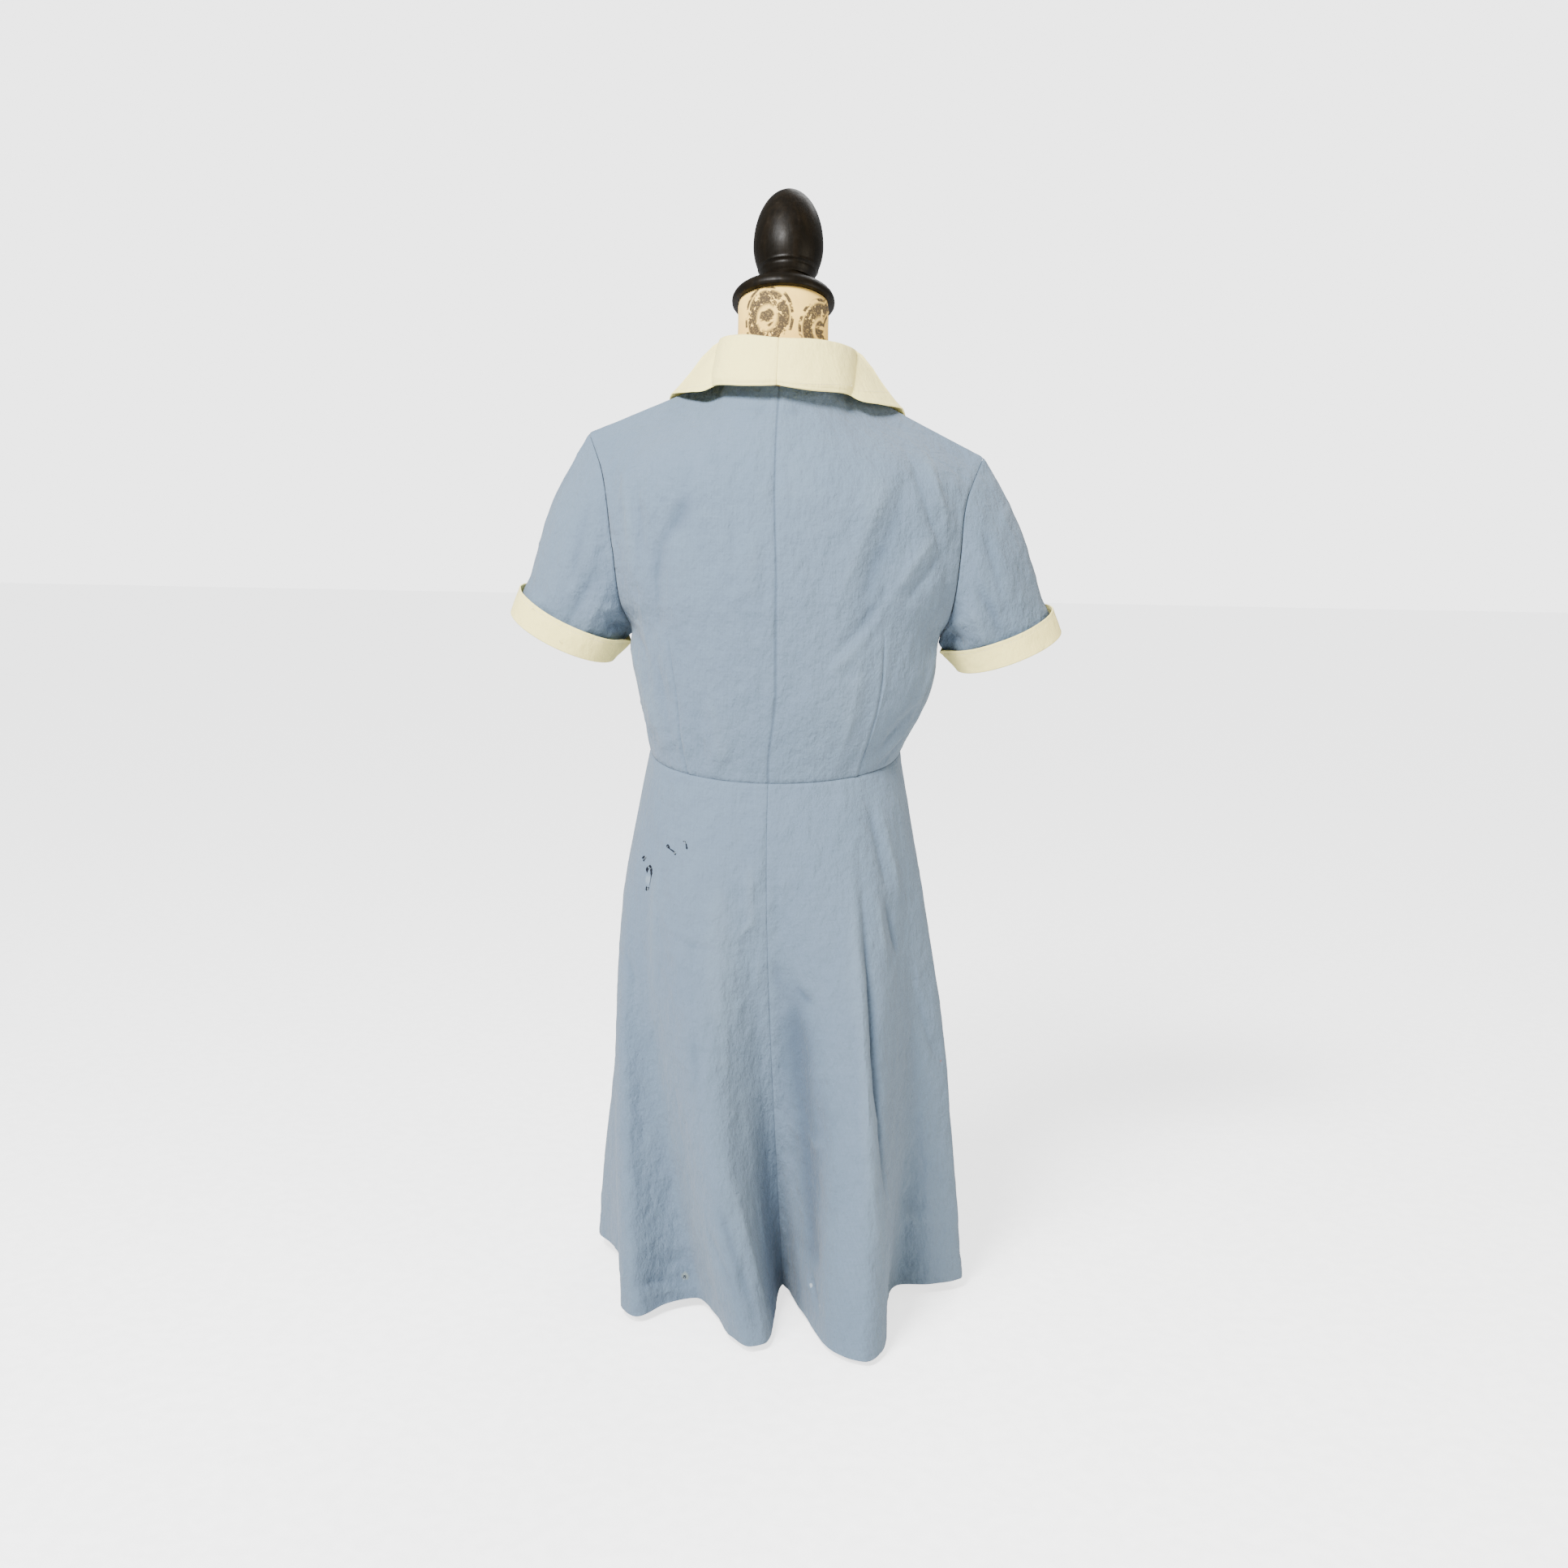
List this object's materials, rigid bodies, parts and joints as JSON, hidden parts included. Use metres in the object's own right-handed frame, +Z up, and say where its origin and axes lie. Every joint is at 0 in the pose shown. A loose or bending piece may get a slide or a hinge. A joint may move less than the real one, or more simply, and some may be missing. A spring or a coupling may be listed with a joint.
{
  "type": "waitress dress on dress form",
  "caption": "Short-sleeved button-front waitress dress in blue cotton with cream collar and turned cuffs and a flared, folded skirt, worn by a limbless dress form with a black finial and foot.",
  "frame": {"origin": "on the floor under the middle of the stand's hub, where the form stands", "axes": "+Z up along the pole; the front of the dress faces -Y and the wearer's left is +X"},
  "size_m": [0.5796, 0.405, 1.1617],
  "materials": {
    "blue_cotton": "matt plain-woven cotton blend",
    "cream_cotton": "matt plain-woven cotton, two layers",
    "printed_form_cloth": "matt stretched cloth with brown motifs",
    "black_wood": "satin black-brown lacquer on turned wood",
    "buttons": "glossy cream"
  },
  "bodies": {
    "root": {"back_bodice_left": "blue_cotton", "back_bodice_right": "blue_cotton", "front_bodice_left": "blue_cotton", "front_bodice_right": "blue_cotton", "sleeve_left": "blue_cotton", "sleeve_right": "blue_cotton", "skirt_back_left": "blue_cotton", "skirt_back_right": "blue_cotton", "skirt_front": "blue_cotton", "collar_left": "cream_cotton", "collar_right": "cream_cotton", "cuff_left": "cream_cotton", "cuff_right": "cream_cotton", "form_torso": "printed_form_cloth", "neck_cap": "black_wood", "finial": "black_wood", "stand_pole": "black_wood", "stand_hub": "black_wood", "stand_leg_1": "black_wood", "stand_leg_2": "black_wood", "stand_leg_3": "black_wood", "button_1": "buttons", "button_2": "buttons", "button_3": "buttons", "button_4": "buttons"}
  },
  "joints": []
}
